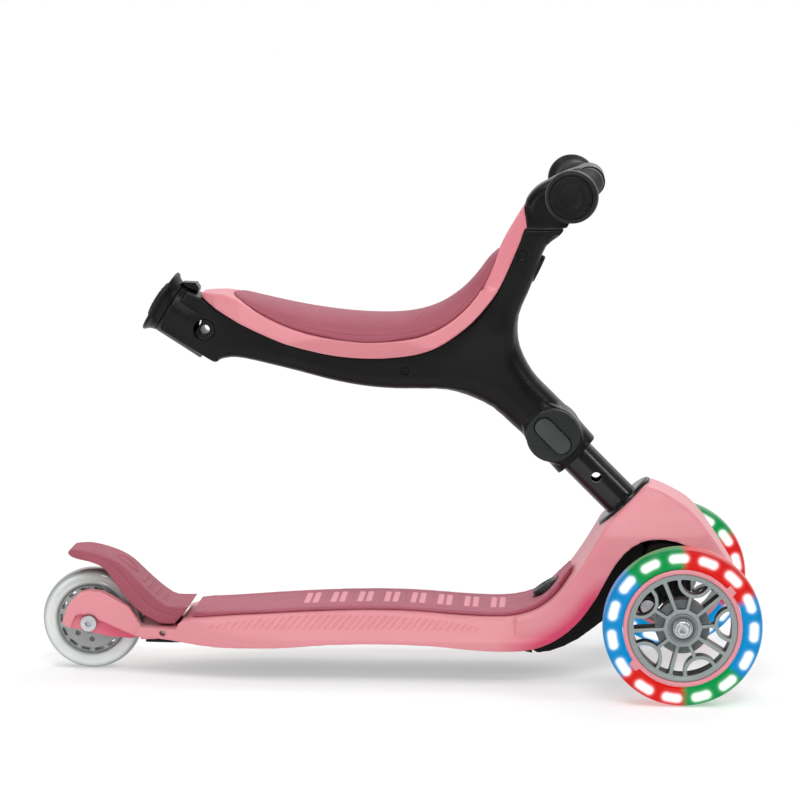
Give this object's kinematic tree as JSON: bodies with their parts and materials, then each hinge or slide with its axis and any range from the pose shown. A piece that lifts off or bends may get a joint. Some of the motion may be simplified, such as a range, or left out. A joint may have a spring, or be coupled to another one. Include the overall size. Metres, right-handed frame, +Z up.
{
  "type": "kick scooter",
  "caption": "Child's three-wheel lean-to-steer scooter with a ride-on seat frame that slides on the stem, lit front wheels, rear foot brake and swept handlebar.",
  "frame": {"origin": "on the floor, in the centre plane, midway along the whole length", "axes": "+X forward, +Y to the rider's left, +Z up"},
  "size_m": [0.5628, 0.2936, 0.4027],
  "materials": {
    "pink_shell": "satin moulded, fine grain",
    "mauve_grip": "satin moulded, textured",
    "seat_mauve": "soft-touch satin",
    "black_plastic": "satin moulded",
    "black_gloss": "semi-gloss moulded",
    "black_rubber": "matte",
    "grip_rubber": "matte, finely ribbed",
    "black_tube": "black powder coat, satin",
    "disc_grey": "satin, dark grey",
    "grey_hub": "satin, grey",
    "rear_hub_plastic": "smoky grey, satin",
    "clear_tyre": "clear polyurethane, glossy",
    "light_tyre": "clear polyurethane lit in coloured segments",
    "lamp_strip": "white lamps, lit",
    "bolt_steel": "zinc plated",
    "bearing_steel": "polished",
    "magnet_ring": "plain",
    "white_bush": "smooth"
  },
  "bodies": {
    "deck": {"deck_shell": "pink_shell", "deck_base": "black_plastic", "deck_mat": "mauve_grip", "pivot_bracket": "black_plastic", "head_collar": "black_rubber", "stem_tube": "black_tube", "stem_socket": "black_plastic", "stem_bolt": "bolt_steel", "kingpin": "bolt_steel", "kingpin_washer": "bolt_steel", "pivot_cross_bolt": "bolt_steel", "steering_bushings": "black_rubber", "deck_screws": "bolt_steel", "lock_bezel": "black_plastic", "rear_axle_bolt": "bolt_steel", "rear_axle_nut": "bolt_steel", "brake_pin": "bolt_steel", "brake_spring": "bolt_steel"},
    "brake": {"brake_fender": "mauve_grip", "brake_pad": "bolt_steel"},
    "rear_wheel": {"rear_tyre": "clear_tyre", "rear_hub": "rear_hub_plastic", "rear_bearings": "bearing_steel"},
    "truck": {"truck_beam": "black_plastic", "left_axle_bolt": "bolt_steel", "right_axle_bolt": "bolt_steel"},
    "left_wheel": {"left_tyre": "light_tyre", "left_light_ring": "lamp_strip", "left_snap_ring": "pink_shell", "left_hub": "grey_hub", "left_bearings": "bearing_steel", "left_generator_ring": "magnet_ring"},
    "right_wheel": {"right_tyre": "light_tyre", "right_light_ring": "lamp_strip", "right_snap_ring": "pink_shell", "right_hub": "grey_hub", "right_bearings": "bearing_steel", "right_generator_ring": "magnet_ring"},
    "ride_frame": {"frame_core": "black_gloss", "frame_trim": "pink_shell", "seat_pad": "seat_mauve", "slider_bush": "white_bush", "near_hub_disc": "disc_grey", "far_hub_disc": "disc_grey", "seat_end_cap": "black_plastic", "seat_end_insert": "black_plastic", "seat_end_clip": "black_plastic", "frame_screws": "bolt_steel", "handlebar_housing": "black_plastic", "handlebar_tube": "black_tube", "left_grip": "grip_rubber", "right_grip": "grip_rubber", "left_end_plug": "grip_rubber", "right_end_plug": "grip_rubber", "handlebar_catch": "black_plastic", "height_lock_spring": "bolt_steel"},
    "height_lock": {"height_lock_button": "disc_grey", "height_lock_yoke": "bolt_steel"},
    "steering_lock": {"steering_lock_button": "black_plastic"},
    "handlebar_release": {"handlebar_button": "black_plastic"}
  },
  "joints": [
    {"name": "rear_wheel_spin", "type": "hinge", "parent": "deck", "child": "rear_wheel", "pos_m": [-0.2415, 0, 0.04], "axis": [0, 1, 0], "continuous": true},
    {"name": "foot_brake", "type": "hinge", "parent": "deck", "child": "brake", "pos_m": [-0.182, 0, 0.034], "axis": [0, -1, 0], "range_deg": [0, 3.5], "stiffness_Nm_per_rad": 12, "springref_deg": -2.86},
    {"name": "lean_steer", "type": "hinge", "parent": "deck", "child": "truck", "pos_m": [0.215, 0, 0.073], "axis": [0.7071, 0, 0.7071], "range_deg": [-12, 12], "stiffness_Nm_per_rad": 80},
    {"name": "left_wheel_spin", "type": "hinge", "parent": "truck", "child": "left_wheel", "pos_m": [0.2215, 0.112, 0.06], "axis": [0, 1, 0], "continuous": true},
    {"name": "right_wheel_spin", "type": "hinge", "parent": "truck", "child": "right_wheel", "pos_m": [0.2215, -0.112, 0.06], "axis": [0, 1, 0], "continuous": true},
    {"name": "height_slide", "type": "slide", "parent": "deck", "child": "ride_frame", "axis": [0.7071, 0, -0.7071], "range_m": [0, 0.048]},
    {"name": "height_lock_press", "type": "slide", "parent": "ride_frame", "child": "height_lock", "axis": [0, 1, 0], "range_m": [0, 0.004], "stiffness_N_per_m": 400, "springref_m": -0.002, "deforming": ["height_lock_spring"]},
    {"name": "steering_lock_press", "type": "slide", "parent": "deck", "child": "steering_lock", "axis": [0.5299, 0, -0.848], "range_m": [0, 0.003], "stiffness_N_per_m": 300, "springref_m": -0.002},
    {"name": "handlebar_release_press", "type": "slide", "parent": "ride_frame", "child": "handlebar_release", "axis": [-0.8988, 0, 0.4384], "range_m": [0, 0.0025], "stiffness_N_per_m": 300, "springref_m": -0.002}
  ]
}
